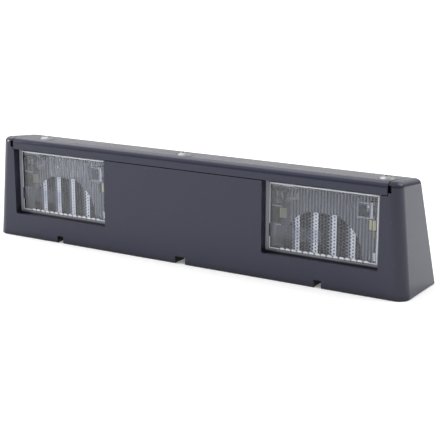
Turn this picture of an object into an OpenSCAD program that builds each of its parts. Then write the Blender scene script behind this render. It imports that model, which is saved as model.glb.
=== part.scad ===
// License plate light: two clear windows in a black wedge-shaped housing that stands on its
// foot, closed on top by a screwed cover. The length runs along X, the windows face -Y.

/* [Housing] */
// Length of the housing along its foot
body_l = 240; // [228:1:270]
// Depth of the housing at its foot, front to back
foot_d = 38; // [37:0.5:44]
// Height of the housing above its foot
body_h = 54; // [50:0.5:60]
// Lean of the two ends, in degrees from upright
end_lean = 5.3; // [3.5:0.1:6]
// Lean of the back face, in degrees from upright
back_lean = 12; // [9:0.5:12.5]
// Fall of the top face towards the back, in degrees
top_fall = 6; // [4.5:0.25:6.5]
// Plan radius of the upright front corners
front_corner_r = 6; // [4:0.5:7]
// Plan radius of the upright back corners
back_corner_r = 3.4; // [3.2:0.1:4.5]
// Rounding of the top edges
edge_r = 3; // [2:0.1:3.1]
// Wall thickness of the housing
wall = 3; // [2.6:0.1:3.1]

/* [Windows] */
// Distance of each window's outer edge from the end of the foot
window_edge = 13.8; // [13.5:0.1:18]
// Width of a window
window_w = 60; // [57.5:0.5:60.5]
// Height of a window's lower edge above the foot
window_z = 12.6; // [11.5:0.1:14]
// Depth of the reveal from the front face to the lens seal
reveal_d = 4.2; // [3.8:0.1:4.4]
// Width of the collar behind the window's edge
collar_w = 2; // [1.6:0.1:2.2]

/* [Cover] */
// Height of the cover's front band
cover_band = 6.4; // [6:0.1:7.5]
// Distance of the cover's left edge from the end of the foot
cover_end_left = 13; // [12.4:0.1:13.2]
// Distance of the cover's right edge from the end of the foot
cover_end_right = 10; // [9.8:0.1:10.4]
// Width of the rim behind the cover
rim_w = 1.85; // [1.6:0.05:2.2]
// Thickness of the cover
cover_t = 2.4; // [2:0.1:2.6]
// Gap between the cover and the housing
seam = 0.4; // [0.2:0.05:0.5]
// Thickness of the cover seal
cover_seal_t = 1; // [0.8:0.1:1.4]
// Width of the slot in the housing beside each end of the cover
slot_w = 1.4; // [0.8:0.1:1.6]
// Depth of those slots
slot_d = 2.2; // [1.2:0.1:2.3]
// Thickness of the deck under the cover
deck_t = 2; // [1.6:0.1:2.4]

/* [Cover screws] */
// Distance of the left cover screw from the end of the foot
screw_end_left = 29; // [26:0.5:33]
// Place of the middle cover screw
screw_mid_x = -3; // [-6:0.5:6]
// Distance of the right cover screw from the end of the foot
screw_end_right = 14.8; // [14.7:0.1:18]
// Distance of the cover screws behind the front face
screw_d = 9.5; // [9.2:0.1:9.7]
// Thread diameter of the cover screws
screw_thread = 3; // [2.5:0.1:3.2]
// Head diameter of the cover screws
screw_head = 7.6; // [6.6:0.1:7.8]
// Length of a cover screw below its head
screw_l = 7; // [5.5:0.5:7.5]
// Depth of the pocket that takes the head
pocket_t = 0.8; // [0.5:0.1:1]

/* [Lens] */
// Gap between the lens face and each side of its window
face_side = 1.8; // [1.4:0.1:2.4]
// Gap between the lens face and the window's lower edge
face_low = 1.6; // [1.2:0.1:2.4]
// Gap between the lens face and the cover's lower edge
face_top = 0.8; // [0.6:0.1:2]
// How far the lens flange reaches past the window on each side
flange_lap = 2.2; // [1.8:0.1:2.4]
// Thickness of the lens flange
flange_t = 1.6; // [1.4:0.1:1.8]
// Thickness of the lens seal
seal_t = 0.6; // [0.5:0.1:0.7]
// Width of one upright flute
flute_pitch = 1.6; // [1.2:0.1:2.4]
// Height of a flute
flute_t = 0.3; // [0.2:0.05:0.35]
// Width of one pillar of the optic
pillar_pitch = 9.5; // [8:0.1:10]
// Place of the middle pillar from the window's centre
pillar_x = 2.1; // [-4:0.1:4]
// How far a pillar stands out behind the lens
pillar_t = 1.8; // [1.2:0.1:2.2]
// Radius of the dome that the pillars fill
dome_r = 20.6; // [18:0.1:21]

/* [Lamp unit] */
// How far the light box reaches past the lens face on each side
box_side = 0.8; // [0.4:0.1:1.6]
// How far the light box reaches below the lens face
box_low = 1.2; // [0.8:0.1:1.6]
// Gap between the light box and the height of the cover's lower edge
box_top = 3.6; // [3.2:0.1:5]
// Depth of the light box
box_d = 7.6; // [7:0.1:8]
// Wall thickness of the light box
box_t = 1.5; // [1.2:0.1:1.7]
// Thickness of the circuit boards
board_t = 1.6; // [1:0.1:1.6]
// Distance of each light emitting diode from the side of the light box
led_inset = 5.6; // [5.4:0.1:7]
// Distance of the light emitting diodes below the top of the light box
led_drop = 13; // [11:0.5:15]
// Size of a light emitting diode across
led_w = 3.5; // [2.8:0.1:4]
// Size of a light emitting diode upwards
led_h = 4.6; // [3.5:0.1:5]
// Thickness of a light emitting diode
led_t = 0.9; // [0.6:0.1:1]
// Distance of the board screws from the side of the light box
board_screw_inset = 7.5; // [7.2:0.1:8.5]

/* [Foot] */
// Height of the base plate's lower face above the foot
base_z = 1.6; // [1.5:0.1:2]
// Thickness of the base plate
base_t = 2.4; // [2:0.1:2.6]
// Thickness of the seal on top of the base plate
base_seal_t = 0.6; // [0.5:0.1:0.9]
// Width of the ledge that the base seal presses on
ledge_w = 1.6; // [1.4:0.1:1.7]
// Gap round the base plate
base_gap = 0.25; // [0.2:0.05:0.3]
// Height of the drain notches
notch_h = 3.8; // [3:0.1:4]
// Width of the two outer drain notches
notch_w = 3.8; // [3:0.1:5]
// Width of the middle drain notch
mid_notch_w = 6; // [4:0.1:8]
// Depth of the channel behind each drain notch
notch_l = 8.5; // [6:0.5:10]
// Distance between the two mounting holes
mount_span = 150; // [144:1:156]
// Distance of the mounting holes behind the front face
mount_d = 18.6; // [18.4:0.1:18.8]
// Bore of the mounting sleeves
mount_bore = 4.5; // [3.8:0.1:4.8]
// Bore of the cable grommet
cable_bore = 6; // [4:0.5:7]
// Place of the cable grommet along the housing
cable_x = 27; // [25.5:0.5:30]

/* [Wiring] */
// Length of the driver board
driver_l = 46; // [44:0.5:47]
// Width of the driver board
driver_w = 15; // [14:0.5:15.5]
// Height of the driver board's lower face above the foot
driver_z = 10; // [9:0.5:11]
// Diameter of the internal wires
wire_od = 1.5; // [1.2:0.1:1.8]

/* [Hidden] */

black = "#26262b";
$fn = 48;
// Overshoot that keeps cuts clean
eps = 0.02;
// Clearance round a screw shank
shank_gap = 0.1;
// Chamfer along the foot's lower edge
foot_chamfer = 0.4;

// Y of a point that lies d behind the front face
function yf(d) = d - foot_d / 2;
// Z of the top face at a distance d behind the front face
function top_at(d) = body_h - edge_r + edge_r / cos(top_fall) - (d - edge_r) * tan(top_fall);
// Y of the back face at a height z
function back_at(z) = foot_d / 2 - z * tan(back_lean);
// Half the length of the housing at a height z
function half_at(z) = body_l / 2 - z * tan(end_lean);

window_x = body_l / 2 - window_edge - window_w / 2;
cover_z = body_h - cover_band;
window_h = cover_z - window_z;
face_w = window_w - 2 * face_side;
face_z = window_z + face_low;
face_h = window_h - face_low - face_top;
cover_left = body_l / 2 - cover_end_left;
cover_right = body_l / 2 - cover_end_right;
// Height near the top face's back edge, where the rim is measured
rim_z = body_h - 2.5;
cover_back = foot_d - rim_z * tan(back_lean) - rim_w;
flange_d = reveal_d + seal_t;
box_front = flange_d + flange_t;
box_half = face_w / 2 + box_side;
box_z = face_z - box_low;
box_h = cover_z - box_top - box_z;
led_x = box_half - led_inset;
led_z = box_z + box_h - led_drop;
board_screw_x = box_half - board_screw_inset;
board_d = box_front + box_d - box_t - board_t;
flange_w = window_w + 2 * flange_lap;
flange_z = window_z - flange_lap;
flange_h = window_h + flange_lap + 1;
// Heights left above and below a slot beside the cover
slot_above = 1.6;
slot_below = 1.4;
screws_x = [screw_end_left - body_l / 2, screw_mid_x, body_l / 2 - screw_end_right];
boss_r = 3;
boss_h = 9.5;
// Room round a screw head in its pocket
head_gap = 0.3;
// Bore in the deck for the mounting screws
access_bore = 8;
notch_widths = [notch_w, mid_notch_w, notch_w];
ledge_z = base_z + base_t + base_seal_t;
base_top = base_z + base_t;
post_r = 3.5;
post_h = 14;
// Thickness of ribs and shelves inside the housing
rib_t = 2.4;
// Small gap between pieces that stand side by side
side_gap = 0.2;
// Base plate screws: place along the housing, place behind the front face
end_post = [half_at(0) - 9, 23.5];
mid_post = [44, 28.2];
// Light box ears
ear_z = box_z + 7;
ear_r = 2.4;
ear_x = flange_w / 2 + ear_r + side_gap;
ear_t = 2;
ear_d = box_front + box_d - ear_t - 1.5;
board_screw_z = box_z + box_h - 5.4;
wire_hole_x = 14;
wire_hole_z = led_z - 7;
wire_hole_w = 8;
wire_hole_h = 6;
thread_small = 2.5;
head_small = 5;
// How far the base plate screws reach above the ledge
base_screw_grip = 7;
// Lengths of the small screws below their heads
board_screw_l = 5;
box_screw_l = 6;
driver_screw_l = 5;
// Driver board
driver_x = -7;
driver_d = 21;
driver_top = driver_z + board_t;
driver_post_x = driver_l / 2 - 3;
driver_post_y = driver_w / 2 - 2.6;
terminal_at = [driver_l / 2 - 13, -4.3];
terminal_size = [7.4, 8.6, 8.6];
chip_x = -13;
coil_x = terminal_at[0] - 13;
coil_od = 9;
coil_h = 4.9;
capacitor_od = 6.3;
capacitor_h = 9;
resistors_x = [chip_x + 0.2, chip_x + 4.4, terminal_at[0] - 8.4];
resistor_size = [3.2, 1.6, 0.6];
// Fittings in the base plate
sleeve_od = mount_bore + 3;
// Width and thickness of the sleeve's collar
sleeve_lap = 1.5;
sleeve_collar = 1.2;
// Width and thickness of the grommet's lower lip
grommet_lip = 2;
grommet_lip_t = 1.3;
vent_x = cable_x - 86;
vent_od = 7;
grommet_od = cable_bore + 5;

// A disc with a rounded rim, lying parallel to the top face
module rim_disc(r, e) {
    rotate([-top_fall, 0, 0])
        rotate_extrude($fn = 48)
            intersection() {
                translate([r - e, 0])
                    circle(e, $fn = 32);
                translate([0, -e])
                    square([r, 2 * e]);
            }
}

// The wedge shape of the housing, drawn in by g on every side
module body_form(g) {
    e = max(edge_r - g, 0.3);
    front_r = max(front_corner_r - g, 1);
    back_r = max(back_corner_r - g, 0.4);
    edge_z = top_at(g + e) - (g + e) / cos(top_fall);
    front_d = g + e + (front_r - e) * cos(top_fall);
    front_z = edge_z - (front_r - e) * sin(top_fall);
    // the back discs lie where the top face's fall meets the back face's lean
    reach = foot_d - g - back_r - front_d;
    back_z = (front_z - reach * tan(top_fall)) / (1 - tan(back_lean) * tan(top_fall));
    back_y = back_at(back_z) - g - back_r;
    low = g > 0 ? -1 : 0;
    hull() {
        for (s = [-1, 1]) {
            translate([s * (half_at(0) - g - front_r), yf(g + front_r), low])
                cylinder(h = foot_chamfer, r1 = front_r - (g > 0 ? 0 : foot_chamfer), r2 = front_r);
            translate([s * (half_at(0) - g - back_r), foot_d / 2 - g - back_r, low])
                cylinder(h = foot_chamfer, r1 = back_r - (g > 0 ? 0 : foot_chamfer), r2 = back_r,
                    $fn = 32);
            translate([s * (half_at(front_z) - g - front_r), yf(front_d), front_z])
                rim_disc(front_r, e);
            translate([s * (half_at(back_z) - g - back_r), back_y, back_z])
                rim_disc(back_r, e);
        }
    }
}

// A rectangle with round corners, from its lower left corner
module round_rect(w, h, r) {
    translate([r, 0])
        square([w - 2 * r, h]);
    translate([0, r])
        square([w, h - 2 * r]);
    for (x = [r, w - r], y = [r, h - r])
        translate([x, y])
            circle(r, $fn = 32);
}

// An upright panel: outline in X and Z, from d behind the front face, t thick
module panel(d, t) {
    translate([0, yf(d) + t, 0])
        rotate([90, 0, 0])
            linear_extrude(t)
                children();
}

// A place on the top face, with Z along the face's normal
module on_top(x, d) {
    translate([x, yf(d), top_at(d)])
        rotate([-top_fall, 0, 0])
            children();
}

// A slab parallel to the top face, from depth a to b below it
module top_slab(x0, x1, d0, d1, a, b) {
    translate([0, yf(0), top_at(0)])
        rotate([-top_fall, 0, 0])
            translate([x0, d0 / cos(top_fall), -b])
                cube([x1 - x0, (d1 - d0) / cos(top_fall), b - a]);
}

// Points of a quarter circle round c, from the angle a on
function corner(c, r, a) = [for (k = [0:8]) c + r * [cos(a + k * 90 / 8), sin(a + k * 90 / 8)]];

// The outline of the foot, drawn in by g
module foot_outline(g) {
    front_r = max(front_corner_r - g, 1);
    back_r = max(back_corner_r - g, 1);
    x = half_at(ledge_z) - g;
    y0 = yf(g);
    y1 = back_at(ledge_z) - g;
    polygon(concat(
        corner([-x + front_r, y0 + front_r], front_r, 180),
        corner([x - front_r, y0 + front_r], front_r, 270),
        corner([x - back_r, y1 - back_r], back_r, 0),
        corner([-x + back_r, y1 - back_r], back_r, 90)));
}

// A pan head screw, its head's seat at the origin and its shank down along -Z
module pan_screw(thread, head, l) {
    head_t = head * 0.32;
    difference() {
        union() {
            translate([0, 0, -l])
                cylinder(h = l + eps, d = thread);
            rotate_extrude()
                intersection() {
                    translate([0, head_t - head * 0.7])
                        circle(head * 0.7, $fn = 96);
                    square([head / 2, head_t]);
                }
        }
        for (a = [0, 90])
            rotate(a)
                translate([-head * 0.28, -head * 0.06, head_t * 0.45])
                    cube([head * 0.56, head * 0.12, head_t]);
    }
}

// Where the cover sits, drawn in by g at its edges
module cover_zone(g, low) {
    translate([-cover_left + g, yf(-1), low])
        cube([cover_left + cover_right - 2 * g, cover_back - g + 1, body_h]);
}

// The left or the right lamp bay, around its window's centre
module in_bay(s) {
    translate([s * window_x, 0, 0])
        children();
}

// Both lamp bays
module each_bay() {
    for (s = [-1, 1])
        in_bay(s)
            children();
}

module base_post(x, d) {
    translate([x, yf(d), ledge_z])
        cylinder(h = post_h, r = post_r);
}

// Deck, bosses, collars and posts inside the housing
module housing_inside() {
    seat = cover_t + cover_seal_t;
    // deck behind the lenses, and up to the front wall between them
    top_slab(-half_at(0), half_at(0), box_front + 1.1, 36, seat, seat + deck_t);
    top_slab(-window_x + flange_w / 2 + 1, window_x - flange_w / 2 - 1, wall - eps,
        box_front + 1.2, seat, seat + deck_t);
    // lip behind the cover's front band
    translate([-window_x + flange_w / 2 + 1, yf(cover_t + seam), cover_z - 3])
        cube([2 * window_x - flange_w - 2, 2, body_h - cover_z - seat + 2.2]);
    // screw bosses, kept clear of the lenses and the light boxes
    intersection() {
        for (x = screws_x)
            on_top(x, screw_d)
                translate([0, 0, -cover_t - boss_h])
                    cylinder(h = boss_h, r = boss_r);
        translate([-body_l, yf(box_front + side_gap), box_z + box_h + side_gap])
            cube([2 * body_l, body_l, body_h]);
    }
    each_bay() {
        // collar and shelf that carry the lens
        panel(wall - eps, reveal_d - wall + eps)
            translate([-window_w / 2 - collar_w, window_z - collar_w])
                square([window_w + 2 * collar_w, window_h + collar_w]);
        translate([-flange_w / 2, yf(wall - eps), flange_z - rib_t])
            cube([flange_w, box_front - wall, rib_t]);
        // posts for the light box ears
        for (s = [-1, 1])
            panel(wall - eps, ear_d - wall + eps)
                translate([s * ear_x, ear_z])
                    circle(ear_r);
    }
    for (s = [-1, 1]) {
        base_post(s * end_post[0], end_post[1]);
        translate([s > 0 ? end_post[0] : -half_at(0), yf(end_post[1]) - rib_t / 2, ledge_z])
            cube([half_at(0) - end_post[0], rib_t, post_h]);
        base_post(s * mid_post[0], mid_post[1]);
        translate([s * mid_post[0] - rib_t / 2, yf(mid_post[1]), ledge_z])
            cube([rib_t, foot_d - mid_post[1], post_h]);
    }
}

module drain_notches(d0, d1, top) {
    for (i = [-1:1])
        translate([i * window_x - notch_widths[i + 1] / 2, yf(d0), -1])
            cube([notch_widths[i + 1], d1 - d0, top + 1]);
}

module housing() {
    color(black)
        difference() {
            union() {
                difference() {
                    body_form(0);
                    body_form(wall);
                    cover_zone(0, cover_z);
                }
                intersection() {
                    body_form(wall / 2);
                    difference() {
                        housing_inside();
                        cover_zone_above_deck();
                    }
                }
            }
            each_bay()
                panel(-1, reveal_d + 2)
                    translate([-window_w / 2, window_z])
                        round_rect(window_w, window_h + 6, 1);
            // slots that let a blade lift the cover's ends
            for (x = [-cover_left - slot_w, cover_right - eps])
                translate([x, yf(-1), cover_z + slot_below])
                    cube([slot_w + eps, slot_d + 1, cover_band - slot_below - slot_above]);
            // rebate for the base plate and its seal
            translate([0, 0, -1])
                linear_extrude(ledge_z + 1)
                    foot_outline(wall - ledge_w);
            drain_notches(-1, wall + 1, notch_h);
            for (x = screws_x)
                on_top(x, screw_d)
                    translate([0, 0, -pocket_t - screw_l - 0.5])
                        cylinder(h = screw_l + 1, d = screw_thread + shank_gap);
            for (s = [-1, 1]) {
                // holes for the base plate screws
                for (p = [end_post, mid_post])
                    translate([s * p[0], yf(p[1]), 0])
                        cylinder(h = ledge_z + base_screw_grip + 2, d = thread_small + shank_gap);
                // screwdriver access to the mounting holes
                translate([s * mount_span / 2, yf(mount_d), ledge_z])
                    cylinder(h = body_h, d = access_bore);
            }
            each_bay()
                for (s = [-1, 1])
                    translate([s * ear_x, yf(ear_d + 1), ear_z])
                        rotate([90, 0, 0])
                            cylinder(h = box_screw_l, d = thread_small + shank_gap);
        }
}

// Space above the deck's bosses that the cover fills
module cover_zone_above_deck() {
    top_slab(-body_l, body_l, -5, cover_back, -20, cover_t);
}

module top_cover() {
    // width of the ribs above the lenses, clear of the end screws' bosses
    hold_w = face_w - 8.4;
    color(black)
        difference() {
            union() {
                intersection() {
                    difference() {
                        body_form(0);
                        body_form(cover_t);
                    }
                    cover_zone(seam, cover_z + seam);
                }
                // ribs that hold the lenses down
                intersection() {
                    each_bay()
                        translate([-hold_w / 2, yf(flange_d), flange_z + flange_h])
                            cube([hold_w, flange_t - side_gap, body_h]);
                    body_form(cover_t / 2);
                }
            }
            for (x = screws_x)
                on_top(x, screw_d) {
                    translate([0, 0, -pocket_t])
                        cylinder(h = 5, d = screw_head + 2 * head_gap);
                    translate([0, 0, -cover_t - 1])
                        cylinder(h = 5, d = screw_thread + 4 * shank_gap);
                }
        }
}

module cover_seal() {
    inset = 1.6;
    d0 = screw_d + boss_r + side_gap;
    color("#1c1c1e")
        difference() {
            top_slab(-cover_left + 3, cover_right - 3, d0, cover_back - 0.6, cover_t,
                cover_t + cover_seal_t);
            top_slab(-cover_left + 3 + inset, cover_right - 3 - inset, d0 + inset,
                cover_back - 0.6 - inset, cover_t - 1, cover_t + cover_seal_t + 1);
        }
}

module cover_screws() {
    color("#b9bbb8")
        for (x = screws_x)
            on_top(x, screw_d)
                translate([0, 0, -pocket_t])
                    pan_screw(screw_thread, screw_head, screw_l);
}

// Section of the fluted back of the lens face, as seen from above
module flutes() {
    count = floor((face_w - 4) / flute_pitch);
    x0 = -count * flute_pitch / 2;
    steps = 4;
    points = [for (i = [0:count - 1], k = [0:steps - 1])
        [x0 + (i + k / steps) * flute_pitch, flute_t * sin(180 * k / steps)]];
    polygon(concat(points, [[x0 + count * flute_pitch, 0], [x0 + count * flute_pitch, -0.2],
        [x0, -0.2]]));
}

module lens() {
    face_back = flange_d + flange_t - 0.4;
    pillar_r = (pow(pillar_pitch / 2, 2) + pow(pillar_t, 2)) / (2 * pillar_t);
    color("#dfe5ea", 0.45) {
        difference() {
            union() {
                panel(flange_d, flange_t)
                    translate([-flange_w / 2, flange_z])
                        round_rect(flange_w, flange_h, 1.5);
                panel(flange_d - 0.8, 0.8 + eps)
                    translate([-face_w / 2, face_z])
                        round_rect(face_w, face_h, 1.2);
            }
            panel(face_back, 2)
                translate([-face_w / 2 + 1, face_z + 1])
                    round_rect(face_w - 2, face_h - 2, 0.8);
        }
        // flutes on the back of the face
        translate([0, yf(face_back), face_z + 1.5])
            linear_extrude(face_h - 3)
                flutes();
        // pillars in the dome of the optic
        intersection() {
            for (i = [-2:2])
                translate([i * pillar_pitch + pillar_x, yf(face_back) + pillar_t - pillar_r,
                    face_z + 1.2])
                    cylinder(h = face_h, r = pillar_r, $fn = 64);
            panel(face_back - 0.2, pillar_t + 1)
                intersection() {
                    translate([-0.7, face_z + 0.4])
                        circle(dome_r, $fn = 96);
                    translate([-dome_r - 1, face_z + 1.2])
                        square([2 * dome_r + 2, dome_r]);
                }
        }
        // moulded posts in the upper corners
        panel(face_back - 0.2, 2.2)
            translate([-board_screw_x - 3.1, board_screw_z - 3.2])
                difference() {
                    round_rect(5.6, 6.4, 0.8);
                    translate([1, 1])
                        round_rect(3.6, 4.4, 0.6);
                }
        panel(face_back - 0.2, 2.2)
            translate([board_screw_x - 3.4, board_screw_z - 3.2])
                difference() {
                    round_rect(6.4, 6.4, 0.8);
                    translate([1, 1])
                        round_rect(4.4, 4.4, 0.6);
                }
    }
}

module lens_left() {
    in_bay(-1)
        lens();
}

module lens_right() {
    in_bay(1)
        lens();
}

module lens_seal() {
    color("#303034")
        panel(reveal_d, seal_t)
            difference() {
                translate([-flange_w / 2 + 0.3, flange_z + 0.3])
                    round_rect(flange_w - 0.6, window_h + flange_lap - 0.3, 1.4);
                translate([-face_w / 2 - side_gap, face_z - side_gap])
                    square([face_w + 2 * side_gap, window_h + 5]);
            }
}

module lens_seal_left() {
    in_bay(-1)
        lens_seal();
}

module lens_seal_right() {
    in_bay(1)
        lens_seal();
}

module light_box() {
    back_d = box_front + box_d - box_t;
    color("#3a3b40")
        difference() {
            union() {
                panel(box_front, box_d)
                    translate([-box_half, box_z])
                        round_rect(2 * box_half, box_h, 1.5);
                for (s = [-1, 1])
                    panel(ear_d, ear_t)
                        translate([s > 0 ? box_half - 1 : -ear_x - ear_r, ear_z - ear_r])
                            round_rect(ear_x + ear_r - box_half + 1, 2 * ear_r, 2);
                for (s = [-1, 1])
                    panel(back_d, box_t + 3)
                        translate([s * board_screw_x, board_screw_z])
                            circle(2.6);
            }
            panel(box_front - 1, box_d - box_t + 1)
                translate([-box_half + box_t, box_z + box_t])
                    round_rect(2 * (box_half - box_t), box_h - 2 * box_t, 1);
            for (s = [-1, 1]) {
                panel(0, 30)
                    translate([s * board_screw_x, board_screw_z])
                        circle(d = thread_small + shank_gap);
                panel(0, 30)
                    translate([s * ear_x, ear_z])
                        circle(d = thread_small + 4 * shank_gap);
                panel(back_d - 1, box_t + 2)
                    translate([s * wire_hole_x - wire_hole_w / 2, wire_hole_z - wire_hole_h / 2])
                        square([wire_hole_w, wire_hole_h]);
            }
        }
}

module light_box_left() {
    in_bay(-1)
        light_box();
}

module light_box_right() {
    in_bay(1)
        light_box();
}

module led_board() {
    half = box_half - box_t - 0.5;
    color("#22252b")
        panel(board_d, board_t)
            difference() {
                translate([-half, wire_hole_z - 3.5])
                    round_rect(2 * half, box_z + box_h - box_t - 0.4 - wire_hole_z + 3.5, 1);
                for (s = [-1, 1])
                    translate([s * board_screw_x, board_screw_z])
                        circle(d = thread_small + 4 * shank_gap);
            }
}

module led_board_left() {
    in_bay(-1)
        led_board();
}

module led_board_right() {
    in_bay(1)
        led_board();
}

// Two light emitting diodes on the front of their board
module leds() {
    color("#e9d98a")
        for (s = [-1, 1])
            panel(board_d - led_t, led_t)
                translate([s * led_x - led_w / 2, led_z - led_h / 2])
                    round_rect(led_w, led_h, 0.3);
}

module leds_left() {
    in_bay(-1)
        leds();
}

module leds_right() {
    in_bay(1)
        leds();
}

module board_screws() {
    color("#8d8f8c")
        each_bay()
            for (s = [-1, 1])
                translate([s * board_screw_x, yf(board_d), board_screw_z])
                    rotate([90, 0, 0])
                        pan_screw(thread_small, head_small - 0.4, board_screw_l);
}

module light_box_screws() {
    color("#8d8f8c")
        each_bay()
            for (s = [-1, 1])
                translate([s * ear_x, yf(ear_d + ear_t), ear_z])
                    rotate([-90, 0, 0])
                        pan_screw(thread_small, head_small, box_screw_l);
}

// Ribs under the base plate, one on each side of a drain notch's channel
module drain_guides() {
    d0 = wall - ledge_w + base_gap;
    rib_w = 1.4;
    for (i = [-1:1], s = [-1, 1])
        translate([i * window_x + s * (notch_widths[i + 1] + rib_w) / 2 - rib_w / 2, yf(d0), 0.3])
            cube([rib_w, notch_l - d0, base_z - 0.3 + eps]);
}

module base_plate() {
    color("#2b2b2f")
        difference() {
            union() {
                translate([0, 0, base_z])
                    linear_extrude(base_t)
                        foot_outline(wall - ledge_w + base_gap);
                for (s = [-1, 1], e = [-1, 1])
                    translate([driver_x + s * driver_post_x, yf(driver_d) + e * driver_post_y,
                        base_top - eps])
                        cylinder(h = driver_z - base_top + eps, d = 5);
                drain_guides();
            }
            drain_notches(-1, notch_l, base_top - 0.8);
            for (s = [-1, 1]) {
                for (p = [end_post, mid_post])
                    translate([s * p[0], yf(p[1]), 0])
                        cylinder(h = 9, d = thread_small + 4 * shank_gap);
                translate([s * mount_span / 2, yf(mount_d), 0])
                    cylinder(h = 9, d = sleeve_od + 0.1);
                for (e = [-1, 1])
                    translate([driver_x + s * driver_post_x, yf(driver_d) + e * driver_post_y,
                        base_top])
                        cylinder(h = 9, d = thread_small + shank_gap);
            }
            translate([cable_x, yf(driver_d), 0])
                cylinder(h = 9, d = grommet_od);
            translate([vent_x, yf(driver_d), 0])
                cylinder(h = 9, d = vent_od);
        }
}

module base_seal() {
    color("#1c1c1e")
        translate([0, 0, base_top])
            linear_extrude(base_seal_t)
                difference() {
                    foot_outline(wall - ledge_w + base_gap);
                    foot_outline(wall);
                }
}

module base_screws() {
    color("#8d8f8c")
        for (s = [-1, 1], p = [end_post, mid_post])
            translate([s * p[0], yf(p[1]), base_z])
                rotate([180, 0, 0])
                    pan_screw(thread_small, head_small - 0.6, ledge_z + base_screw_grip - base_z);
}

module mount_sleeves() {
    color("#b7b9bb")
        for (s = [-1, 1])
            translate([s * mount_span / 2, yf(mount_d), 0])
                difference() {
                    union() {
                        cylinder(h = base_top, d = sleeve_od);
                        translate([0, 0, base_top])
                            cylinder(h = sleeve_collar, d = sleeve_od + 2 * sleeve_lap);
                    }
                    translate([0, 0, -1])
                        cylinder(h = base_top + sleeve_collar + 2, d = mount_bore);
                }
}

module cable_grommet() {
    color("#202022")
        translate([cable_x, yf(driver_d), 0])
            difference() {
                union() {
                    translate([0, 0, base_z - grommet_lip_t])
                        cylinder(h = grommet_lip_t, d = grommet_od + 2 * grommet_lip);
                    translate([0, 0, base_z - eps])
                        cylinder(h = base_t + 2 * eps, d = grommet_od);
                    translate([0, 0, base_top])
                        cylinder(h = 1.6, r1 = grommet_od / 2 + grommet_lip, r2 = cable_bore / 2 + 2);
                }
                translate([0, 0, -1])
                    cylinder(h = 12, d = cable_bore);
            }
}

module breather_vent() {
    color("#4a4b4f")
        translate([vent_x, yf(driver_d), 0])
            difference() {
                union() {
                    translate([0, 0, base_z - 1.2])
                        cylinder(h = 1.2, d = vent_od + 3);
                    translate([0, 0, base_z])
                        cylinder(h = base_t + 2, d = vent_od);
                }
                // the membrane is left as a thin floor
                translate([0, 0, base_z - 0.6])
                    cylinder(h = 8, d = vent_od - 3);
            }
}

module driver_board() {
    color("#1f3b2c")
        translate([driver_x - driver_l / 2, yf(driver_d) - driver_w / 2, driver_z])
            difference() {
                cube([driver_l, driver_w, board_t]);
                for (s = [-1, 1], e = [-1, 1])
                    translate([driver_l / 2 + s * driver_post_x, driver_w / 2 + e * driver_post_y,
                        -1])
                        cylinder(h = 4, d = thread_small + 4 * shank_gap);
            }
}

module driver_screws() {
    color("#8d8f8c")
        for (s = [-1, 1], e = [-1, 1])
            translate([driver_x + s * driver_post_x, yf(driver_d) + e * driver_post_y,
                driver_top])
                pan_screw(thread_small, head_small - 0.6, driver_screw_l);
}

// A place on the driver board, measured from its centre
module on_driver(x, y) {
    translate([driver_x + x, yf(driver_d) + y, driver_top])
        children();
}

module driver_chip() {
    color("#18181a")
        on_driver(chip_x, 0)
            union() {
                translate([-3, -2, 0.2])
                    cube([6, 4, 1.5]);
                for (i = [-1.5:1.5])
                    translate([i * 1.27 - 0.2, -3, 0])
                        cube([0.4, 6, 0.6]);
            }
}

module choke_coil() {
    color("#5b4a3c")
        on_driver(coil_x, 0)
            difference() {
                union() {
                    cylinder(h = 1, d = coil_od);
                    translate([0, 0, 1 - eps])
                        cylinder(h = coil_h - 2 + 2 * eps, d = coil_od - 2.6);
                    translate([0, 0, coil_h - 1])
                        cylinder(h = 1, d = coil_od);
                }
                translate([0, 0, 3.5])
                    cylinder(h = 3, d = 2.4);
            }
}

module capacitor() {
    color("#3f4d63")
        on_driver(terminal_at[0] - capacitor_od / 2 - 0.65, 0)
            union() {
                cylinder(h = capacitor_h, d = capacitor_od);
                cylinder(h = 0.8, d = capacitor_od + 0.6);
            }
}

module resistors() {
    color("#2a2a2c")
        for (x = resistors_x, s = [-1, 1])
            on_driver(x, s * (driver_w / 2 - 1.9))
                translate([-resistor_size[0] / 2, -resistor_size[1] / 2, 0])
                    cube(resistor_size);
}

module terminal_block() {
    color("#3f6f4c")
        on_driver(terminal_at[0], terminal_at[1])
            difference() {
                cube(terminal_size);
                for (y = [0.6, 4.7]) {
                    translate([3, y, 1.6])
                        cube([6, 3.3, 3.6]);
                    translate([3.4, y + 1.65, 5])
                        cylinder(h = 5, d = 3);
                }
            }
}

module terminal_screws() {
    color("#b9bbb8")
        on_driver(terminal_at[0], terminal_at[1])
            for (y = [0.6, 4.7])
                translate([3.4, y + 1.65, 5.1])
                    difference() {
                        cylinder(h = 2.6, d = 3);
                        translate([-2, -0.3, 1.8])
                            cube([4, 0.6, 2]);
                    }
}

// Tube of diameter d along a list of points
module wire(points, d) {
    n = len(points);
    sides = 8;
    function dir(i) = let (a = points[max(i - 1, 0)], b = points[min(i + 1, n - 1)]) (b - a) / norm(b - a);
    function side(t) = let (c = cross(t, [0, 0.3, 1])) c / norm(c);
    rings = [for (i = [0:n - 1]) let (t = dir(i), u = side(t), v = cross(u, t))
        for (k = [0:sides - 1])
            points[i] + d / 2 * (u * cos(360 * k / sides) + v * sin(360 * k / sides))];
    faces = concat(
        [[for (k = [0:sides - 1]) k]],
        [for (i = [0:n - 2], k = [0:sides - 1])
            [i * sides + k, (i + 1) * sides + k, (i + 1) * sides + (k + 1) % sides,
                i * sides + (k + 1) % sides]],
        [[for (k = [sides - 1:-1:0]) (n - 1) * sides + k]]);
    polyhedron(rings, faces);
}

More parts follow.
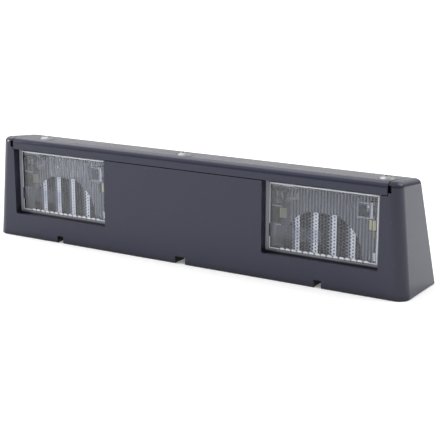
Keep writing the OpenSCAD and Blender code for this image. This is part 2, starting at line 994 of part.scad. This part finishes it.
// A smooth run through hand-placed points
function bend(p, m) = [for (i = [0:len(p) - 2], k = [0:m - 1])
    let (t = k / m, a = p[max(i - 1, 0)], b = p[i], c = p[i + 1], d = p[min(i + 2, len(p) - 1)])
        0.5 * (2 * b + (c - a) * t + (2 * a - 5 * b + 4 * c - d) * t * t
            + (3 * b - 3 * c + d - a) * t * t * t)];

// Internal wire from the driver board to the back of a lamp board
module lamp_wire(s, lift, start_x) {
    end_x = s * (window_x - wire_hole_x);
    start_y = yf(driver_d) + lift;
    end_y = yf(board_d + board_t);
    end_z = wire_hole_z + sign(lift) * (wire_od / 2 + 0.1);
    route = [
        [start_x, start_y, driver_top + 2.4],
        [start_x + s * 8, start_y, driver_top + 4.6],
        [end_x * 0.66, start_y, driver_top + 5.4 + lift],
        [end_x * 0.84, start_y - 2, wire_hole_z - 3.4 + lift],
        [end_x - s * 3, start_y - 4 - lift / 2, end_z - 0.6],
        [end_x, end_y + 2.4, end_z]];
    wire(concat([[start_x, start_y, driver_top]], bend(route, 4),
        [route[5], [end_x, end_y, end_z]]), wire_od);
}

module wire_red_left() {
    color("#a3272b")
        lamp_wire(-1, 1.6, driver_x - driver_l / 2 + 1);
}

module wire_black_left() {
    color("#1a1a1c")
        lamp_wire(-1, -1.6, driver_x - driver_l / 2 + 1);
}

module wire_red_right() {
    color("#a3272b")
        lamp_wire(1, 1.6, driver_x + driver_l / 2 - 1);
}

module wire_black_right() {
    color("#1a1a1c")
        lamp_wire(1, -1.6, driver_x + driver_l / 2 - 1);
}

housing();
top_cover();
cover_seal();
cover_screws();
lens_left();
lens_right();
lens_seal_left();
lens_seal_right();
light_box_left();
light_box_right();
light_box_screws();
led_board_left();
led_board_right();
leds_left();
leds_right();
board_screws();
base_plate();
base_seal();
base_screws();
mount_sleeves();
cable_grommet();
breather_vent();
driver_board();
driver_screws();
driver_chip();
choke_coil();
capacitor();
resistors();
terminal_block();
terminal_screws();
wire_red_left();
wire_black_left();
wire_red_right();
wire_black_right();
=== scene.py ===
import math

import bmesh
import bpy
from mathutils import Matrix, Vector


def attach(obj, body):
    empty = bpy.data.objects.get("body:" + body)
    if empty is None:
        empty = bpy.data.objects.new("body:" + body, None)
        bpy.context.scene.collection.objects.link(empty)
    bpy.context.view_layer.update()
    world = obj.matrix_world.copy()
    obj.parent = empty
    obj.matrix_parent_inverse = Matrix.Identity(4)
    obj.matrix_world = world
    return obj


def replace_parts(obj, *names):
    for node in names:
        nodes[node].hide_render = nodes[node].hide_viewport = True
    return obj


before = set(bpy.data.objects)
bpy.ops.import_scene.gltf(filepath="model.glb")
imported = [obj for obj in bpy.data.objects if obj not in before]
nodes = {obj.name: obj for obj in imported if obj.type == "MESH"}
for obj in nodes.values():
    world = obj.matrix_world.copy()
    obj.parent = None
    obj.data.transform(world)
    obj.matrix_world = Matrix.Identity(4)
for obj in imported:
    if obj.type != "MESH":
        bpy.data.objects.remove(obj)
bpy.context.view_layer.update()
MM = 0.001


def srgb(text):
    """A hex colour as the linear colour that Blender works in."""
    parts = [int(text[i:i + 2], 16) / 255 for i in (1, 3, 5)]
    return [c / 12.92 if c <= 0.04045 else ((c + 0.055) / 1.055) ** 2.4 for c in parts] + [1.0]


def add(tree, kind, inputs=None, **settings):
    """One node with its settings, and its inputs as values or links."""
    node = tree.nodes.new(kind)
    for name, value in settings.items():
        setattr(node, name, value)
    for name, value in (inputs or {}).items():
        socket = node.inputs[name]
        if isinstance(value, bpy.types.NodeSocket):
            tree.links.new(value, socket)
        else:
            socket.default_value = value
    return node


def finish(name, colour, roughness, **sockets):
    """A material with its Principled shader: returns the material, its tree and the shader."""
    material = bpy.data.materials.new(name)
    material.use_nodes = True
    tree = material.node_tree
    shader = tree.nodes["Principled BSDF"]
    shader.inputs["Base Color"].default_value = srgb(colour)
    shader.inputs["Roughness"].default_value = roughness
    for socket, value in sockets.items():
        shader.inputs[socket.replace("_", " ")].default_value = value
    return material, tree, shader


def place_mesh(name, mesh, materials):
    """An object in the scene from a finished bmesh, with its materials in slot order."""
    data = bpy.data.meshes.new(name)
    mesh.to_mesh(data)
    mesh.free()
    for material in materials:
        data.materials.append(material)
    item = bpy.data.objects.new(name, data)
    bpy.context.scene.collection.objects.link(item)
    return item


# Finishes of the plastics, rubber and metal

BLUE_BLACK, GREY_RUBBER, PALE = "#2c2e3d", "#9a9ca6", "#f2f2f2"


def polished_abs():
    """Blue-black ABS moulded in a polished tool: a deep gloss with a cool cast, faint orange
    peel, soft handling marks, a little dust, and painted shade in grooves and recesses."""
    material, tree, shader = finish("polished_black_abs", BLUE_BLACK, 0.2, IOR=1.54,
                                    Specular_IOR_Level=0.25)
    place = add(tree, "ShaderNodeTexCoord").outputs["Object"]
    # handling marks, some 25 mm across, change the gloss a little
    marks = add(tree, "ShaderNodeTexNoise", {"Vector": place, "Scale": 1000 / 25, "Detail": 3.0})
    gloss = add(tree, "ShaderNodeMapRange", {"Value": marks.outputs["Fac"], "From Min": 0.3,
                "From Max": 0.7, "To Min": 0.13, "To Max": 0.22})
    # specks of dust, drawn 0.9 mm across, coarser than the real ones, so that they show
    dust = add(tree, "ShaderNodeTexNoise", {"Vector": place, "Scale": 1000 / 0.9, "Detail": 1.0})
    specks = add(tree, "ShaderNodeMapRange", {"Value": dust.outputs["Fac"], "From Min": 0.7,
                 "From Max": 0.8, "To Min": 0.0, "To Max": 0.3})
    colour = add(tree, "ShaderNodeMix", {"Factor": specks.outputs["Result"],
                 "A": srgb(BLUE_BLACK), "B": srgb("#5a5c66")}, data_type="RGBA")
    # orange peel, about 1.5 mm from wave to wave
    peel = add(tree, "ShaderNodeTexNoise", {"Vector": place, "Scale": 1000 / 1.5, "Detail": 1.0})
    bump = add(tree, "ShaderNodeBump", {"Height": peel.outputs["Fac"], "Strength": 0.04,
               "Distance": 0.05 * MM})
    # painted shade: grooves, recesses and inner corners are painted darker within 5 mm of the next
    # wall
    painted_shade_ao = add(tree, "ShaderNodeAmbientOcclusion", {"Distance": 5 * MM}, samples=8)
    unshaded_share = add(tree, "ShaderNodeMapRange", {"Value": painted_shade_ao.outputs["AO"], "From Min": 0.3,
                   "From Max": 0.9, "To Min": 0.1, "To Max": 1.0})
    # the near-black #08080b mixed in here is the painted shade
    painted_shade_colour = add(tree, "ShaderNodeMix", {"Factor": unshaded_share.outputs["Result"],
                 "A": srgb("#08080b"), "B": colour.outputs["Result"]}, data_type="RGBA")
    tree.links.new(gloss.outputs["Result"], shader.inputs["Roughness"])
    tree.links.new(painted_shade_colour.outputs["Result"], shader.inputs["Base Color"])
    tree.links.new(bump.outputs["Normal"], shader.inputs["Normal"])
    return material


def moulded(name, colour, lighter, roughness, grain_mm, depth_mm=0.03, **sockets):
    """A moulded or cast surface with a fine grain and slightly uneven colour."""
    material, tree, shader = finish(name, colour, roughness, **sockets)
    place = add(tree, "ShaderNodeTexCoord").outputs["Object"]
    # the grain of the mould, and clouds of colour some 12 mm across
    grain = add(tree, "ShaderNodeTexNoise", {"Vector": place, "Scale": 1000 / grain_mm,
                "Detail": 2.0})
    cloud = add(tree, "ShaderNodeTexNoise", {"Vector": place, "Scale": 1000 / 12, "Detail": 2.0})
    mixed = add(tree, "ShaderNodeMix", {"Factor": cloud.outputs["Fac"], "A": srgb(colour),
                "B": srgb(lighter)}, data_type="RGBA")
    bump = add(tree, "ShaderNodeBump", {"Height": grain.outputs["Fac"], "Strength": 0.4,
               "Distance": depth_mm * MM})
    tree.links.new(mixed.outputs["Result"], shader.inputs["Base Color"])
    tree.links.new(bump.outputs["Normal"], shader.inputs["Normal"])
    return material


def plated_steel(name, colour, roughness):
    """Steel with a thin zinc or nickel coat: bright, with fine turning marks and dull patches."""
    material, tree, shader = finish(name, colour, roughness, Metallic=1.0)
    place = add(tree, "ShaderNodeTexCoord").outputs["Object"]
    # dull patches 2 mm across and marks 0.25 mm apart, both coarser than real, so that they show
    patches = add(tree, "ShaderNodeTexNoise", {"Vector": place, "Scale": 1000 / 2.0, "Detail": 3.0})
    dull = add(tree, "ShaderNodeMapRange", {"Value": patches.outputs["Fac"], "From Min": 0.35,
               "From Max": 0.7, "To Min": roughness * 0.75, "To Max": roughness * 1.5})
    marks = add(tree, "ShaderNodeTexNoise", {"Vector": place, "Scale": 1000 / 0.25, "Detail": 2.0})
    bump = add(tree, "ShaderNodeBump", {"Height": marks.outputs["Fac"], "Strength": 0.08,
               "Distance": 0.02 * MM})
    tree.links.new(dull.outputs["Result"], shader.inputs["Roughness"])
    tree.links.new(bump.outputs["Normal"], shader.inputs["Normal"])
    return material


def clear_polycarbonate(name, colour, roughness, diffuse):
    """Injection-moulded clear polycarbonate: colourless and glossy, with an IOR a little under the
    typical 1.585, matched to how softly the real lens mirrors. Where the mould was textured, part
    of the light scatters at the surface. Light for the pieces behind it passes through."""
    material, tree, shader = finish(name, colour, roughness, IOR=1.5,
                                    Transmission_Weight=1.0 - diffuse)
    passing = add(tree, "ShaderNodeBsdfTransparent", {"Color": srgb("#eef2f6")})
    path = add(tree, "ShaderNodeLightPath")
    mix = add(tree, "ShaderNodeMixShader", {0: path.outputs["Is Shadow Ray"],
              1: shader.outputs["BSDF"], 2: passing.outputs["BSDF"]})
    tree.links.new(mix.outputs["Shader"], tree.nodes["Material Output"].inputs["Surface"])
    return material


def lens_seal_rubber():
    """Grey silicone rubber, with painted shade along the window's lower edge, where the gap below
    the lens lies in shadow.
    """
    material, tree, shader = finish("grey_silicone_rubber", GREY_RUBBER, 0.5, IOR=1.43)
    place = add(tree, "ShaderNodeTexCoord").outputs["Object"]
    height = add(tree, "ShaderNodeSeparateXYZ", {"Vector": place}).outputs["Z"]
    # the painted shade ends, a little unevenly, between 13.1 and 14.3 mm above the foot
    waves = add(tree, "ShaderNodeTexNoise", {"Vector": place, "Scale": 1000 / 6, "Detail": 1.0})
    line = add(tree, "ShaderNodeMath", {0: waves.outputs["Fac"], 1: 0.3 * MM, 2: height},
               operation="MULTIPLY_ADD")
    seal_unshaded_share = add(tree, "ShaderNodeMapRange", {"Value": line.outputs["Value"],
                "From Min": 13.1 * MM, "From Max": 14.3 * MM, "To Min": 0.0, "To Max": 1.0})
    # the near-black #0c0c0e below that edge is the painted shade
    colour = add(tree, "ShaderNodeMix", {"Factor": seal_unshaded_share.outputs["Result"], "A": srgb("#0c0c0e"),
                 "B": srgb(GREY_RUBBER)}, data_type="RGBA")
    tree.links.new(colour.outputs["Result"], shader.inputs["Base Color"])
    return material


def painted_shade_facets():
    """Painted shade on the knurl's steep facets: an opaque near-black finish in place of the dark
    box, which the real polycarbonate facets turn the view aside into, so that they look almost
    black."""
    return finish("knurl_facets_painted_near_black", "#15171d", 0.5, IOR=1.585,
                  Specular_IOR_Level=0.0)[0]


FINISHES = {
    "polished_abs": polished_abs(),
    # moulded in a plain tool: almost black and barely mirrors, so the lens in front looks clear
    "carrier": moulded("carrier_polycarbonate", "#25272e", "#2e3038", 0.4, 0.6, IOR=1.58,
                       Specular_IOR_Level=0.1),
    # moulded, with its glass fibres near the surface: matt and a little rough
    "base": moulded("glass_filled_nylon", "#1d1e21", "#26272a", 0.55, 0.5, 0.06, IOR=1.53),
    # moulded rubber: matt black with lighter clouds
    "rubber": moulded("epdm_rubber", "#17181a", "#202123", 0.8, 0.4, 0.05, IOR=1.5),
    "grey_rubber": lens_seal_rubber(),
    # turned and plated: bright, the outer screws darker and duller than the inner ones
    "screws": plated_steel("nickel_plated_steel", "#8b8c8e", 0.38),
    "inner_screws": plated_steel("zinc_plated_steel", "#a4a6a4", 0.35),
    # one moulding, with a tool that was polished, left plain, etched lightly and blasted. The
    # frosted
    #     # finish also stands as a painted highlight on the ring, the bar, the scallops and the
    #     pillars'
    #     # right flanks, where the lens's edges and ridges carry light
    "lens": clear_polycarbonate("clear_polycarbonate", "#d2d5dc", 0.02, 0.0),
    "hazy_lens": clear_polycarbonate("hazy_polycarbonate", "#aaafc0", 0.05, 0.1),
    "satin_lens": clear_polycarbonate("textured_polycarbonate", "#a4a8b2", 0.15, 0.55),
    "frosted_highlight_lens": clear_polycarbonate("frosted_polycarbonate_painted_highlight", "#d0d3da", 0.35, 1.0),
    # the knurl's steep facets: an opaque near-black finish, painted shade
    "dark_facet_painted_shade": painted_shade_facets(),
    # screen-printed lacquer on the boards: smooth, with a slight grain
    "lamp_board": moulded("black_solder_mask", "#22252e", "#2b2f3a", 0.3, 0.8,
                          Specular_IOR_Level=0.1),
    "driver_board": moulded("green_solder_mask", "#163526", "#1f4531", 0.3, 0.8),
    # cast silicone with yellow phosphor: soft and waxy
    "phosphor": moulded("yellow_phosphor", "#e6dc98", "#f0eabc", 0.45, 0.5),
    # etched copper, a little tarnished
    "copper": moulded("bare_copper_track", "#9c6a48", "#a97a55", 0.4, 0.4, Metallic=0.6),
    # parts of the driver board: pressed epoxy, lacquered wire, shrunk foil and moulded polyamide
    "epoxy": moulded("black_epoxy", "#17181a", "#222326", 0.5, 0.3),
    "winding": moulded("enamelled_copper", "#6b3f22", "#8a5a32", 0.3, 0.25, 0.1),
    "can": moulded("printed_foil_sleeve", "#2d3a55", "#36456a", 0.35, 1.0),
    "terminal": moulded("green_polyamide", "#2f6b45", "#387a50", 0.45, 0.5),
    # extruded wire covers and the moulded vent: smooth and slightly waxy
    "red_pvc": moulded("red_pvc", "#9c2226", "#b02a2c", 0.35, 0.6),
    "black_pvc": moulded("black_pvc", "#18181a", "#222224", 0.35, 0.6),
    "vent": moulded("grey_polypropylene", "#45474b", "#505257", 0.5, 0.6),
}
WEARS = {
    "housing": "polished_abs", "top_cover": "polished_abs", "cover_seal": "rubber",
    "cover_screws": "screws", "lens_left": "lens", "lens_right": "lens",
    "lens_seal_left": "grey_rubber", "lens_seal_right": "grey_rubber", "light_box_left": "carrier",
    "light_box_right": "carrier", "light_box_screws": "inner_screws",
    "led_board_left": "lamp_board", "led_board_right": "lamp_board", "leds_left": "phosphor",
    "leds_right": "phosphor", "board_screws": "inner_screws", "base_plate": "base",
    "base_seal": "rubber", "base_screws": "inner_screws", "mount_sleeves": "inner_screws",
    "cable_grommet": "rubber", "breather_vent": "vent", "driver_board": "driver_board",
    "driver_screws": "inner_screws", "driver_chip": "epoxy", "choke_coil": "winding",
    "capacitor": "can", "resistors": "epoxy", "terminal_block": "terminal",
    "terminal_screws": "inner_screws", "wire_red_left": "red_pvc", "wire_black_left": "black_pvc",
    "wire_red_right": "red_pvc", "wire_black_right": "black_pvc",
}


def dress(node, material):
    """Gives a CAD node its finish. Small facets shade as one curve, and flat faces stay flat."""
    for slot in node.material_slots:
        slot.material = material
    for face in node.data.polygons:
        face.use_smooth = True
    weld = node.modifiers.new("join_facets", "WELD")
    weld.merge_threshold = 0.002 * MM
    split = node.modifiers.new("keep_edges", "EDGE_SPLIT")
    split.split_angle = math.radians(30)
    level = node.modifiers.new("flat_faces", "WEIGHTED_NORMAL")
    level.mode = "FACE_AREA"
    level.weight = 100
    level.keep_sharp = True


for name, wear in WEARS.items():
    dress(nodes[name], FINISHES[wear])


# The two lenses, in millimetres from each window's centre, the foot and the front face

FRONT_Y = -19.0
WINDOW_X = 76.2
# The face that shows in the window and the flange behind it: half width, lower and upper edge
FACE_HALF, FACE_Z, FACE_TOP = 28.2, 14.2, 46.8
FLANGE_HALF, FLANGE_Z, FLANGE_TOP = 32.2, 10.4, 48.6
# How far the face, the flange and the back lie behind the housing's front
FACE_D, FLANGE_D, BACK_D = 4.0, 4.8, 6.4
# Within its border the lens is a little thinner
BORDER, THINNER = 1.0, 0.4
# Ring round the lens face, bevelled at its outer edge, and frosted as a painted highlight
RING, BEVEL, BEVEL_T = 0.85, 0.25, 0.5
# The left side of the ring is only hazy between these heights
RING_GAP = (20.2, 26.6)
# The dome of pillars in the lower half, cut off flat at the top. Its relief fades out over the
# last DOME_FADE below the flat.
DOME_X, DOME_Z, DOME_HALF, DOME_H, DOME_TOP = -0.8, 15.0, 20.8, 20.8, 34.6
DOME_FADE = 1.5
PILLAR_X, PILLAR_PITCH, PILLAR_T = 2.1, 9.5, 1.0
# Where a pillar's middle and its right flank start, as parts of its width
MIDDLE, RIGHT_FLANK = 0.5, 0.7
# The knurl: staggered dimples all over the pillars
KNURL_X, KNURL_Z, KNURL_T = 1.6, 1.6, 0.1
# Upright flutes, which start at the left of the dome
FLUTE_X, FLUTE_PITCH, FLUTE_T = -17.0, 1.6, 0.18
# Scallops along the lower edge, frosted where they are high, and the bar along the top edge:
# painted highlights
SCALLOP_X0, SCALLOP_X1, SCALLOP_PITCH = -22.4, 24.0, 3.1
SCALLOP_LOW, SCALLOP_H, SCALLOP_BRIGHT = 0.4, 0.95, 0.9
BAR_X0, BAR_Z = -15.5, 45.9
# Fields of the mould at both sides of the dome: left, right, low, high
FROSTED = [
    (-27.9, -27.2, 35.4, 42.8), (-27.9, -21.8, 35.0, 35.6), (-24.8, -24.1, 40.0, 43.2),
    (-22.4, -21.7, 39.4, 43.0), (-27.4, -16.0, 44.9, 45.5), (-25.9, -25.3, 20.8, 26.2),
    (23.2, 24.3, 35.0, 43.2), (22.6, 27.0, 42.6, 43.2), (24.9, 26.3, 15.8, 19.4),
]
SATIN = [
    (-19.0, -13.5, 39.4, 40.0), (-19.0, -13.5, 44.3, 44.9), (-19.0, -18.4, 39.4, 44.9),
    (-14.1, -13.5, 39.4, 44.9), (-24.8, -22.9, 36.6, 38.4), (-22.2, -21.6, 36.4, 39.4),
    (16.4, 22.8, 34.9, 35.5), (16.4, 17.0, 34.9, 42.1), (16.4, 22.8, 41.5, 42.1),
    (-27.9, -22.3, 26.2, 26.7),
]
CLEAR = [
    (-27.1, -25.0, 36.6, 42.4), (-21.3, -19.3, 38.0, 42.6), (17.3, 22.6, 35.8, 41.2),
    (24.5, 26.4, 36.4, 41.4), (-27.6, -22.3, 26.8, 34.8), (22.9, 26.6, 29.4, 34.9),
]
# How far the frosted and satin fields stand out behind the lens
FRAME_T = 0.7
# Spacing of the mesh across and up
GRID_X, GRID_Z = 0.2, 0.3


def within(x, z, fields):
    """Whether a place lies in one of the fields."""
    return any(x0 < x < x1 and z0 < z < z1 for x0, x1, z0, z1 in fields)


def dome_rim(x, z):
    """1 in the middle of the dome's ellipse, 0 on its rim."""
    across, up = (x - DOME_X) / DOME_HALF, (z - DOME_Z) / DOME_H
    return 1 - across * across - up * up


def in_dome(x, z):
    """Whether a place lies in the dome of pillars."""
    return DOME_Z < z < DOME_TOP and dome_rim(x, z) > 0


def to_face_edge(x, z):
    """Distance to the nearest edge of the lens face, below zero outside it."""
    return min(FACE_HALF - abs(x), z - FACE_Z, FACE_TOP - z)


def scallop(x):
    """Height of the scalloped band at a place along the lower edge."""
    if not SCALLOP_X0 < x < SCALLOP_X1:
        return RING
    wave = abs(math.sin(math.pi * (x - SCALLOP_X0) / SCALLOP_PITCH))
    return SCALLOP_LOW + SCALLOP_H * wave ** 0.6


def pillar_phase(x):
    """How far across its pillar a place lies: 0 at the left valley, 1 at the right one."""
    return ((x - PILLAR_X) / PILLAR_PITCH + 0.5) % 1.0


def knurl(x, z):
    """Depth of the knurl: 1 in the middle of a dimple, 0 on its rim at 0.4 of the pitch, and less
    between the dimples."""
    column = math.floor(x / KNURL_X)
    u = x / KNURL_X - column - 0.5
    v = (z / KNURL_Z + 0.5 * (column % 2)) % 1.0 - 0.5
    return 1 - (u * u + v * v) / 0.16


def lens_front(x, z):
    """How far the front of the lens lies behind the housing's front face."""
    inside = to_face_edge(x, z)
    if inside <= 0:
        return FLANGE_D
    return FACE_D + BEVEL_T * max(0.0, 1 - inside / BEVEL)


def lens_back(x, z):
    """How far the lens reaches back."""
    if to_face_edge(x, z) < BORDER:
        return BACK_D
    depth = BACK_D - THINNER
    if in_dome(x, z):
        u = 2 * pillar_phase(x) - 1
        relief = PILLAR_T * (1 - u * u) - KNURL_T * max(0.0, knurl(x, z))
        return depth + relief * min(1.0, 4 * dome_rim(x, z), (DOME_TOP - z) / DOME_FADE)
    if within(x, z, FROSTED) or within(x, z, SATIN):
        return depth + FRAME_T
    if x > FLUTE_X:
        return depth + FLUTE_T * abs(math.sin(math.pi * (x - FLUTE_X) / FLUTE_PITCH))
    return depth


# Finishes of the lens, in the order of its material slots
LENS_FINISHES = ("lens", "hazy_lens", "satin_lens", "frosted_highlight_lens", "dark_facet_painted_shade")
CLEAR_LENS, HAZY, SATIN_LENS, FROSTED_HIGHLIGHT, SHADE_PAINTED_FACETS = range(5)


def front_finish(x, z):
    """The mould is polished in front, but for the ring, the scallops and the bar, which are frosted
    as painted highlights of the light that the lens's edges carry. The scallops are frosted where
    they are high and satin in between."""
    inside = to_face_edge(x, z)
    if inside < -0.1:
        return CLEAR_LENS
    if z - FACE_Z < scallop(x):
        high = scallop(x) > SCALLOP_BRIGHT or scallop(x) == RING
        return FROSTED_HIGHLIGHT if high else SATIN_LENS
    if x < 0 and RING_GAP[0] < z < RING_GAP[1]:
        return HAZY
    if inside < RING or (z > BAR_Z and x > BAR_X0):
        return FROSTED_HIGHLIGHT
    return CLEAR_LENS


def back_finish(x, z):
    """The mould is textured on the back. Across each pillar the finish follows the light: frosted
    on the right flank as a painted highlight, satin in the middle, hazy on the left, and near-black
    in the knurl's dimples as painted shade, widest on the left flank."""
    if to_face_edge(x, z) < 0.5:
        return HAZY
    if within(x, z, FROSTED):
        return FROSTED_HIGHLIGHT
    if within(x, z, SATIN):
        return SATIN_LENS
    if within(x, z, CLEAR):
        return CLEAR_LENS
    if in_dome(x, z):
        phase, dimple = pillar_phase(x), knurl(x, z)
        if phase > RIGHT_FLANK:
            return SHADE_PAINTED_FACETS if dimple > 0.6 else FROSTED_HIGHLIGHT
        if phase > MIDDLE:
            return SHADE_PAINTED_FACETS if dimple > 0.3 else SATIN_LENS
        return SHADE_PAINTED_FACETS if dimple > 0.1 else HAZY
    if x > FLUTE_X:
        return SATIN_LENS if (x - FLUTE_X) / FLUTE_PITCH % 1.0 < 0.45 else HAZY
    return HAZY


def steps(low, high, pitch, edges):
    """Grid lines from low to high, with a close pair at each edge."""
    count = round((high - low) / pitch)
    lines = {round(low + (high - low) * i / count, 4) for i in range(count + 1)}
    for edge in edges:
        lines = {v for v in lines if abs(v - edge) > 0.06}
        lines |= {round(edge - 0.03, 4), round(edge + 0.03, 4)}
    return sorted(lines)


def build_lens(name, centre):
    """One lens as a closed mesh: a front and a back sheet on the same grid, joined at the rim."""
    xs = steps(-FLANGE_HALF, FLANGE_HALF, GRID_X,
               [-FACE_HALF, FACE_HALF, BORDER - FACE_HALF, FACE_HALF - BORDER])
    zs = steps(FLANGE_Z, FLANGE_TOP, GRID_Z,
               [FACE_Z, FACE_TOP, FACE_Z + BORDER, FACE_TOP - BORDER, DOME_Z])
    mesh = bmesh.new()
    front, back = {}, {}
    for i, x in enumerate(xs):
        for j, z in enumerate(zs):
            at_x = MM * (centre + x)
            front[i, j] = mesh.verts.new((at_x, MM * (FRONT_Y + lens_front(x, z)), MM * z))
            back[i, j] = mesh.verts.new((at_x, MM * (FRONT_Y + lens_back(x, z)), MM * z))
    last_x, last_z = len(xs) - 1, len(zs) - 1
    for i in range(last_x):
        for j in range(last_z):
            x, z = (xs[i] + xs[i + 1]) / 2, (zs[j] + zs[j + 1]) / 2
            face = mesh.faces.new((front[i, j], front[i + 1, j], front[i + 1, j + 1],
                                   front[i, j + 1]))
            face.material_index = front_finish(x, z)
            face = mesh.faces.new((back[i, j], back[i, j + 1], back[i + 1, j + 1],
                                   back[i + 1, j]))
            face.material_index = back_finish(x, z)
    for i in range(last_x):
        mesh.faces.new((front[i, 0], back[i, 0], back[i + 1, 0], front[i + 1, 0]))
        mesh.faces.new((front[i, last_z], front[i + 1, last_z], back[i + 1, last_z],
                        back[i, last_z]))
    for j in range(last_z):
        mesh.faces.new((front[0, j], front[0, j + 1], back[0, j + 1], back[0, j]))
        mesh.faces.new((front[last_x, j], back[last_x, j], back[last_x, j + 1],
                        front[last_x, j + 1]))
    lens = place_mesh(name, mesh, [FINISHES[finish_name] for finish_name in LENS_FINISHES])
    for face in lens.data.polygons:
        face.use_smooth = True
    lens.data.set_sharp_from_angle(angle=math.radians(38))
    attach(lens, "root")
    return lens


for side, sign in (("left", -1), ("right", 1)):
    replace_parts(build_lens("optic_" + side, sign * WINDOW_X), "lens_" + side)


# Copper pads on the lamp boards, below the outer of each board's two diodes

# How far the diodes lie from the window's centre, and the board's face behind the front
LED_X, LED_BOARD_D = 23.4, 10.9
PAD_SIZE, PAD_D, PAD_Z = (2.4, 0.1, 3.4), LED_BOARD_D - 0.05, 26.6


def build_pad(name, centre):
    """A bare copper pad, a flat block just in front of the board."""
    mesh = bmesh.new()
    bmesh.ops.create_cube(mesh, size=1.0)
    pad = place_mesh(name, mesh, [FINISHES["copper"]])
    pad.scale = [MM * v for v in PAD_SIZE]
    pad.location = (MM * centre, MM * (FRONT_Y + PAD_D), MM * PAD_Z)
    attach(pad, "root")


build_pad("copper_pad_left", -WINDOW_X - LED_X)
build_pad("copper_pad_right", WINDOW_X + LED_X)


# Floor, light and camera, in metres

FLOOR_REACH = 6.0
# The glow that lifts the floor's pale colour to white where it is seen
FLOOR_LIFT = 0.18
# The camera's position and lens were fitted to the outline of the lamp in the photo
CAMERA_PLACE, CAMERA_DOWN, CAMERA_TURN = (0.30637, -0.47611, 0.15864), 13.89, 31.76
CAMERA_LENS = 94.15


def pale_floor():
    """A pale floor, white to the camera, in reflections and through the lenses, with the lamp's
    shadow on it."""
    material, tree, shader = finish("pale_floor", PALE, 0.9, Specular_IOR_Level=0.0,
                                    Emission_Color=(1, 1, 1, 1))
    path = add(tree, "ShaderNodeLightPath")
    mirrored = add(tree, "ShaderNodeMath", {0: path.outputs["Is Camera Ray"],
                   1: path.outputs["Is Glossy Ray"]}, operation="MAXIMUM")
    seen = add(tree, "ShaderNodeMath", {0: mirrored.outputs["Value"],
               1: path.outputs["Is Transmission Ray"]}, operation="MAXIMUM")
    lift = add(tree, "ShaderNodeMath", {0: seen.outputs["Value"], 1: FLOOR_LIFT},
               operation="MULTIPLY")
    tree.links.new(lift.outputs["Value"], shader.inputs["Emission Strength"])
    return material


def build_floor():
    """The floor, a hair below the lamp's foot."""
    mesh = bmesh.new()
    bmesh.ops.create_grid(mesh, x_segments=4, y_segments=4, size=FLOOR_REACH)
    floor = place_mesh("floor", mesh, [pale_floor()])
    floor.location.z = -0.05 * MM


def build_world():
    """The room: overhead it is as bright as a large softbox. The horizon is dimmer, most of all
    on the camera's side and towards the front right. The white behind the lamp is the floor."""
    world = bpy.data.worlds.new("studio")
    world.use_nodes = True
    tree = world.node_tree
    way = add(tree, "ShaderNodeTexCoord").outputs["Generated"]
    towards = add(tree, "ShaderNodeVectorMath", {0: way, 1: (0.53, -0.85, 0)},
                  operation="DOT_PRODUCT").outputs["Value"]
    height = add(tree, "ShaderNodeSeparateXYZ", {"Vector": way}).outputs["Z"]
    # the overhead light begins 8 degrees above the horizon behind, and 28 degrees above it in front
    start = add(tree, "ShaderNodeMapRange", {"Value": towards, "From Min": -0.9, "From Max": 0.6,
                "To Min": 0.14, "To Max": 0.47}).outputs["Result"]
    above = add(tree, "ShaderNodeMath", {0: height, 1: start}, operation="SUBTRACT")
    overhead = add(tree, "ShaderNodeMapRange", {"Value": above.outputs["Value"], "From Min": -0.1,
                   "From Max": 0.25, "To Min": 0.0, "To Max": 1.0},
                   interpolation_type="SMOOTHSTEP").outputs["Result"]
    horizon = add(tree, "ShaderNodeMapRange", {"Value": towards, "From Min": -0.8,
                  "From Max": 0.8, "To Min": 0.36, "To Max": 0.1}).outputs["Result"]
    light = add(tree, "ShaderNodeMix", {"Factor": overhead, "A": horizon, "B": 1.25},
                data_type="FLOAT")
    room = tree.nodes["Background"]
    room.inputs["Color"].default_value = (1, 1, 1, 1)
    tree.links.new(light.outputs["Result"], room.inputs["Strength"])
    bpy.context.scene.world = world


def softbox(name, place, target, size, power):
    """A rectangular lamp at a place, turned to a target. Its power is in watts."""
    lamp = bpy.data.lights.new(name, "AREA")
    lamp.shape = "RECTANGLE"
    lamp.size, lamp.size_y = size
    lamp.energy = power
    holder = bpy.data.objects.new(name, lamp)
    holder.location = place
    holder.rotation_euler = (Vector(target) - Vector(place)).to_track_quat("-Z", "Y").to_euler()
    bpy.context.scene.collection.objects.link(holder)


def build_camera():
    """The camera at the photo's viewpoint."""
    lens = bpy.data.cameras.new("camera")
    lens.lens = CAMERA_LENS
    lens.sensor_width = 36
    lens.clip_start, lens.clip_end = 0.01, 50
    camera = bpy.data.objects.new("camera", lens)
    camera.location = CAMERA_PLACE
    camera.rotation_euler = (math.radians(90 - CAMERA_DOWN), 0, math.radians(CAMERA_TURN))
    bpy.context.scene.collection.objects.link(camera)
    bpy.context.scene.camera = camera


build_floor()
build_world()
# two softboxes behind the lamp light its top and its right end, the left one its front
softbox("back_left_softbox", (-0.7, 0.2, 1.0), (0, 0, 0.05), (0.9, 1.0), 6)
softbox("left_softbox", (-1.3, -0.7, 0.45), (0, 0, 0.03), (0.5, 0.5), 16)
softbox("back_right_softbox", (0.9, 0.7, 0.9), (0.2, 0.15, 0), (0.8, 0.8), 7)
build_camera()
bpy.context.scene.view_settings.view_transform = "Standard"
